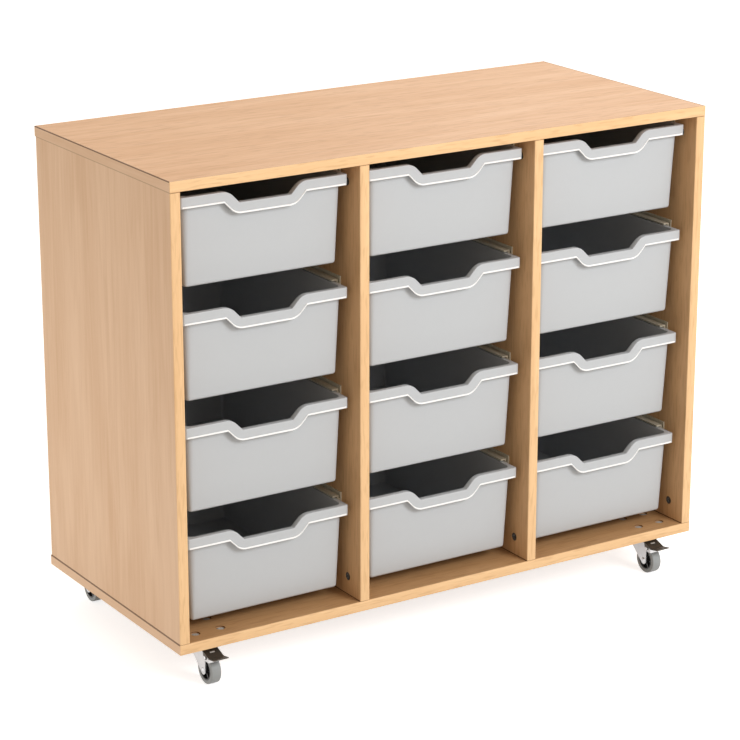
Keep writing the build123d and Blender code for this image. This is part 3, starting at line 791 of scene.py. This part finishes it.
class UNIT_OT_runners(bpy.types.Operator):
    """Finish the runners"""

    bl_idname = "tray_unit.runners"
    bl_label = "Runners"

    def execute(self, context):
        plastic = moulded("runner_plastic", context.scene.tray_looks.runner)
        dress([f"runners_{bay}_bay_{hand}" for bay in BAYS for hand in ("left", "right")], plastic)
        return {"FINISHED"}


def turned(profile, axis, places, steps=TURN_STEPS, cross=None, closed=False):
    """Copies of a turned piece: a profile of height and radius, spun round an axis at each place.

    A cross recess, given as length, width and depth, is pressed into the points of the upper face: its
    depth fades in over a quarter of its width from the edges of two crossed bars.
    """
    height, radius = np.array(profile).T
    angle = np.linspace(0, 2 * np.pi, steps, endpoint=False)
    first = radius[:, None] * np.cos(angle)
    second = radius[:, None] * np.sin(angle)
    heights = np.repeat(height[:, None], steps, axis=1)
    if cross:
        length, width, depth = cross
        fade = width / 4
        bar = np.minimum((length / 2 - np.abs(first)) / fade, (width / 2 - np.abs(second)) / fade)
        other = np.minimum((length / 2 - np.abs(second)) / fade, (width / 2 - np.abs(first)) / fade)
        pressed = np.clip(np.maximum(bar, other), 0, 1)
        heights = heights - depth * pressed * (np.arange(len(radius)) < np.argmax(radius))[:, None]
    order = [(heights, first, second), (second, heights, first), (first, second, heights)]["XYZ".index(axis)]
    local = np.stack(order, axis=-1)
    points = np.asarray(places)[:, None, None, :] + local[None]
    one = grid_faces(len(height), steps, closed)
    shift = np.arange(len(places))[:, None, None] * len(height) * steps
    return points, (one[None] + shift).reshape(-1, 4).tolist()


def headed(radius, head_radius, half, head_height):
    """Profile of a pin with a domed head at each end, from end to end: the dome is a quarter ellipse."""
    turn = np.linspace(0, np.pi / 2, CORNER_STEPS)
    dome = np.stack([half + head_height * np.cos(turn), head_radius * np.sin(turn)], axis=-1)
    right = np.concatenate([dome, [[half, radius]]])
    left = right[::-1] * [-1, 1]
    return np.concatenate([right, left])


def face_rows(radius):
    """Radii of a flat face from its middle outwards."""
    return np.linspace(0, radius, FACE_STEPS)


class UNIT_OT_fasteners(bpy.types.Operator):
    """Turn the castor bolts and the cam locks and finish the other fasteners"""

    bl_idname = "tray_unit.fasteners"
    bl_label = "Fasteners"

    def execute(self, context):
        looks = context.scene.castor_looks
        dress(["cam_bolts", "runner_screws"], plated("screw_zinc", looks.zinc))
        self.turn_bolts(looks)
        self.turn_cams(looks)
        return {"FINISHED"}

    def turn_bolts(self, looks):
        """Round flat heads with a cross recess, on shanks that end in the castor plates."""
        low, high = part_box("castor_bolts")
        round_edge = looks.bolt_head_height / 4
        head = looks.bolt_head
        shank = looks.bolt_shank
        flat = head - round_edge
        face = [(looks.bolt_dome * (1 - (radius / flat) ** 2), radius) for radius in face_rows(flat)]
        edge = [
            (round_edge * (math.cos(turn) - 1), flat + round_edge * math.sin(turn)) for turn in QUARTER
        ]
        under = -looks.bolt_head_height
        stem = [(under, head), (under, shank), (low[2] - high[2], shank), (low[2] - high[2], 0.0)]
        middles = [np.mean(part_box(f"{place}_castor_plate"), axis=0) for place in PLACES]
        half = looks.bolt_spacing / 2
        square = [(i * half, j * half) for i in (-1, 1) for j in (-1, 1)]
        places = [(x + i, y + j, high[2]) for x, y, _ in middles for i, j in square]
        points, faces = turned(
            face + edge + stem, "Z", places, SMALL_TURN_STEPS, (head, head / 4, round_edge)
        )
        grey = plated("bolt_grey", looks.bolt, metallic=0.4)
        add_piece("castor_bolt_heads", points, faces, grey, "carcass", ["castor_bolts"])

    def turn_cams(self, looks):
        """Discs with a cross recess in the bay faces of the uprights."""
        low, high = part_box("cam_locks")
        radius = looks.cam_face
        sides = [1, -1, -1, -1]
        faces_x = [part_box(board)[1 if side > 0 else 0][0] for board, side in zip(UPRIGHTS, sides)]
        across, upwards = ((low[axis] + radius, high[axis] - radius) for axis in (1, 2))
        spots = [(0.0, y, z) for y in across for z in upwards]
        bevel = looks.cam_sink
        disc = [(0.0, r) for r in face_rows(radius - bevel)]
        disc += [(-bevel, radius), (-looks.cam_depth, radius), (-looks.cam_depth, 0.0)]
        cross = (1.5 * radius, radius / 3.4, radius / 3.7)
        zinc = plated("cam_zinc", looks.cam)
        points, faces = turned(disc, "X", spots, SMALL_TURN_STEPS, cross)
        copies = [
            ((points - [looks.cam_sink, 0, 0]) * [side, 1, 1] + [face_x, 0, 0])[:, :, ::side]
            for face_x, side in zip(faces_x, sides)
        ]
        shift = np.arange(len(sides))[:, None, None] * points[..., 0].size
        all_faces = (np.array(faces) + shift).reshape(-1, 4).tolist()
        add_piece("cam_discs", np.stack(copies), all_faces, zinc, "carcass", ["cam_locks"])


class UNIT_OT_castors(bpy.types.Operator):
    """Turn the wheels and axles and finish the pressed pieces of the castors"""

    bl_idname = "tray_unit.castors"
    bl_label = "Castors"

    def execute(self, context):
        looks = context.scene.castor_looks
        zinc = plated("castor_zinc", looks.zinc)
        dark = plated("pedal_dark", looks.dark_steel, metallic=0.3)
        bright = plated("tab_painted_highlight", looks.tab, metallic=0.2)
        black = moulded("core_black", looks.core)
        grey = moulded("tyre_grey", looks.tyre)
        for piece in ("kingpin", "fork"):
            dress([f"{place}_castor_{piece}" for place in PLACES], zinc, looks.metal_bevel)
        dress([f"{place}_castor_plate" for place in PLACES], dark, looks.metal_bevel)
        dress([f"{place}_brake_pedal" for place in BRAKED], dark, looks.metal_bevel)
        for place in PLACES:
            middle = np.mean(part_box(f"{place}_wheel_tyre"), axis=0)
            self.turn_tyre(looks, place, middle, grey)
            self.turn_core(looks, place, middle, black)
            self.turn_pin(f"{place}_castor_axle", looks.axle, looks.axle_head, f"{place}_swivel", zinc)
        for place in BRAKED:
            self.turn_pin(f"{place}_brake_pin", looks.pin, looks.pin_head, f"{place}_swivel", zinc)
            self.press_tab(looks, place, bright)
        return {"FINISHED"}

    def press_tab(self, looks, place, material):
        """A bright pad on the pedal's face: a rounded box, tilted with the pedal. It stands for a real tab,
        and its near-white, barely metallic finish is partly a painted highlight.

        The sines and cosines of longitude and latitude are raised to a low power, which flattens the faces.
        """
        low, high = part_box(f"{place}_brake_pedal")
        fall = looks.tab_setback * looks.pedal_slope
        middle = np.array([(low[0] + high[0]) / 2, high[1] - looks.tab_setback, high[2] - fall])
        around = np.linspace(0, 2 * np.pi, TURN_STEPS // 2, endpoint=False)
        upwards = np.linspace(-np.pi / 2, np.pi / 2, 2 * CORNER_STEPS)[:, None]

        def flattened(value, power=0.35):
            return np.sign(value) * np.abs(value) ** power

        x = looks.tab_length / 2 * flattened(np.cos(upwards)) * flattened(np.cos(around))
        y = looks.tab_width / 2 * flattened(np.cos(upwards)) * flattened(np.sin(around))
        z = looks.tab_thickness / 2 * flattened(np.sin(upwards)) * np.ones_like(around)
        z = z - looks.tab_thickness / 3 + y * looks.pedal_slope
        points = np.stack([x, y, z], axis=-1) + middle
        faces = grid_faces(*x.shape).tolist()
        add_piece(f"{place}_pedal_tab", points, faces, material, f"{place}_brake")

    def turn_tyre(self, looks, place, middle, material):
        """A band with rounded shoulders and a slightly dished side, spun about the axle."""
        low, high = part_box(f"{place}_wheel_tyre")
        half = (high[0] - low[0]) / 2
        radius = (high[2] - low[2]) / 2
        inner = radius - looks.tyre_wall
        shoulder = looks.tread_round
        dish = shoulder / 3
        turn = np.concatenate([[0.0], QUARTER])
        arc = np.stack(
            [half - shoulder * (1 - np.cos(turn)), radius - shoulder * (1 - np.sin(turn))], axis=-1
        )
        wall = [[half, inner], [half, inner + dish], [half - dish, inner + 2 * dish],
                [half - dish, radius - 3 * shoulder], [half, radius - 2 * shoulder]]
        right = np.concatenate([wall, arc])
        profile = np.concatenate([right, right[::-1] * [-1, 1]])
        points, faces = turned(profile, "X", [middle], closed=True)
        add_piece(
            f"{place}_tyre_band", points, faces, material, f"{place}_wheel",
            [f"{place}_wheel_tyre"],
        )

    def turn_core(self, looks, place, middle, material):
        """Rim, recess and hub spun about the axle, with the recess raised where six spokes cross it.

        A point of the recess lies on a spoke where its distance across the nearest spoke's middle line is
        under half of the spoke's width.
        """
        low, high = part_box(f"{place}_wheel_tyre")
        half = (high[0] - low[0]) / 2
        core = (high[2] - low[2]) / 2 - looks.tyre_wall
        hub_low, hub_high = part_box(f"{place}_wheel_core")
        hub_half = (hub_high[0] - hub_low[0]) / 2
        inner = core - looks.core_rim
        floor = half - looks.core_recess
        top = half - looks.spoke_sink
        soft = looks.spoke / 8
        bore = [[hub_half - soft, looks.axle + soft / 4], [hub_half, looks.axle + soft]]
        hub = [[hub_half, looks.hub - soft], [hub_half - soft, looks.hub]]
        radii = np.linspace(looks.hub + soft / 4, inner - soft / 4, CORNER_STEPS)
        recess = [[floor, radius] for radius in radii]
        rim = [[half - soft, inner], [half, inner + soft], [half, core]]
        right = np.array(bore + hub + recess + rim)
        profile = np.concatenate([right, right[::-1] * [-1, 1]])
        points, faces = turned(profile, "X", [(0.0, 0.0, 0.0)], 2 * TURN_STEPS, closed=True)
        x, y, z = np.moveaxis(points[0], -1, 0)
        radius = np.hypot(y, z)
        sector = np.pi / 3
        swing = (np.arctan2(z, y) + sector / 2) % sector - sector / 2
        across = radius * np.abs(np.sin(swing))
        raised = np.clip((looks.spoke / 2 + soft - across) / soft, 0, 1)
        in_recess = np.isclose(np.abs(profile[:, 0]), floor)[:, None]
        x = np.where(in_recess, np.sign(x) * (np.abs(x) + raised * (top - floor)), x)
        points = np.stack([x, y, z], axis=-1) + middle
        add_piece(
            f"{place}_wheel_centre", points, faces, material, f"{place}_wheel",
            [f"{place}_wheel_core"],
        )

    def turn_pin(self, node, radius, head_height, body, material):
        """A pin with domed heads that lies along X."""
        low, high = (np.array(corner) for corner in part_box(node))
        half = (high[0] - low[0]) / 2 - head_height
        profile = headed(radius, (high[2] - low[2]) / 2, half, head_height)
        points, faces = turned(profile, "X", [(low + high) / 2], SMALL_TURN_STEPS)
        add_piece(f"{node}_rivet", points, faces, material, body, [node])


class UNIT_OT_stage(bpy.types.Operator):
    """Set up the camera, the pale floor and the soft light"""

    bl_idname = "tray_unit.stage"
    bl_label = "Stage"

    def execute(self, context):
        looks = context.scene.stage_looks
        scene = context.scene
        scene.view_settings.view_transform = "Standard"
        self.set_camera(scene, looks)
        self.lay_floor(looks)
        self.light_sky(scene, looks)
        tone, side = looks.lamp_tone, looks.lamp_size
        self.hang_lamp("front", tone, looks.front_power, looks.front_place, side)
        self.hang_lamp("side", tone, looks.side_power, looks.side_place, looks.side_size)
        self.hang_lamp("top", tone, looks.top_power, looks.top_place, side)
        return {"FINISHED"}

    def set_camera(self, scene, looks):
        """Stands the camera at its place and points it along its aim."""
        lens = bpy.data.cameras.new("camera")
        lens.lens = looks.lens
        lens.sensor_width = 36.0
        camera = put("camera", lens)
        turn = Vector(looks.camera_aim).to_track_quat("-Z", "Y").to_matrix().to_4x4()
        camera.matrix_world = Matrix.Translation(looks.camera_place) @ turn
        scene.camera = camera

    def lay_floor(self, looks):
        """A pale floor that takes the object's shadow, lifted to white where rays from the eye meet it."""
        half = looks.floor_half
        data = bpy.data.meshes.new("floor")
        corners = [(-half, -half, 0), (half, -half, 0), (half, half, 0), (-half, half, 0)]
        data.from_pydata(corners, [], [(0, 1, 2, 3)])
        floor = put("floor", data)
        finish = Nodes(bpy.data.materials.new("pale_floor"))
        cloud = finish.noise(finish.place(), FLOOR_CLOUD)
        base = finish.mix(cloud, looks.floor, shade(looks.floor, FLOOR_SHADE))
        data.materials.append(
            finish.done(
                Base_Color=base, Roughness=0.8, Emission_Color=(1, 1, 1, 1),
                Emission_Strength=finish.seen(0.0, looks.floor_lift),
            )
        )

    def light_sky(self, scene, looks):
        """A soft warm sky that looks plain white to the eye, in reflections and through clear matter."""
        scene.world = bpy.data.worlds.new("even_light")
        light = Nodes(scene.world)
        sky = light.tree.nodes["Background"]
        light.feed(sky, {"Color": looks.sky_tone, "Strength": looks.sky})
        white = light.node("Background", {"Color": (1, 1, 1, 1)})
        shares = {"Fac": light.seen(0.0, 1.0), 1: sky.outputs["Background"], 2: white.outputs["Background"]}
        both = light.node("MixShader", shares)
        light.feed(light.tree.nodes["World Output"], {"Surface": both.outputs["Shader"]})

    def hang_lamp(self, name, tone, power, spot, side):
        """A square lamp that faces the middle of the unit."""
        lamp = bpy.data.lights.new(f"{name}_lamp", "AREA")
        lamp.energy = power
        lamp.color = tone[:3]
        lamp.size = side
        hung = put(f"{name}_lamp", lamp)
        low, high = cad_box
        aim = Vector([(a + b) / 2 for a, b in zip(low, high)]) - Vector(spot)
        hung.matrix_world = Matrix.Translation(spot) @ aim.to_track_quat("-Z", "Y").to_matrix().to_4x4()


PIECES = (UNIT_OT_boards, UNIT_OT_trays, UNIT_OT_runners, UNIT_OT_fasteners, UNIT_OT_castors, UNIT_OT_stage)
GROUPS = {
    "board_looks": BoardLooks,
    "tray_looks": TrayLooks,
    "castor_looks": CastorLooks,
    "stage_looks": StageLooks,
}


class UNIT_PT_looks(bpy.types.Panel):
    """Lists the finishes and the buttons that make them"""

    bl_idname = "UNIT_PT_looks"
    bl_label = "Tray unit"
    bl_space_type = "VIEW_3D"
    bl_region_type = "UI"
    bl_category = "Tray unit"

    def draw(self, context):
        """Lists each group's values and a button for each operator."""
        for name, group in GROUPS.items():
            box = self.layout.box()
            for key in group.__annotations__:
                box.prop(getattr(context.scene, name), key)
        for piece in PIECES:
            self.layout.operator(piece.bl_idname)


def register():
    """Makes the groups, the operators and the panel known."""
    for group in GROUPS.values():
        bpy.utils.register_class(group)
    for name, group in GROUPS.items():
        setattr(bpy.types.Scene, name, PointerProperty(type=group))
    for piece in (*PIECES, UNIT_PT_looks):
        bpy.utils.register_class(piece)


def unregister():
    """Takes the panel, the operators and the groups away."""
    for piece in reversed((*PIECES, UNIT_PT_looks)):
        bpy.utils.unregister_class(piece)
    for name, group in GROUPS.items():
        delattr(bpy.types.Scene, name)
        bpy.utils.unregister_class(group)


def main():
    """Makes every piece and the stage."""
    register()
    bpy.ops.tray_unit.boards()
    bpy.ops.tray_unit.trays()
    bpy.ops.tray_unit.runners()
    bpy.ops.tray_unit.fasteners()
    bpy.ops.tray_unit.castors()
    bpy.ops.tray_unit.stage()


if __name__ == "__main__":
    main()
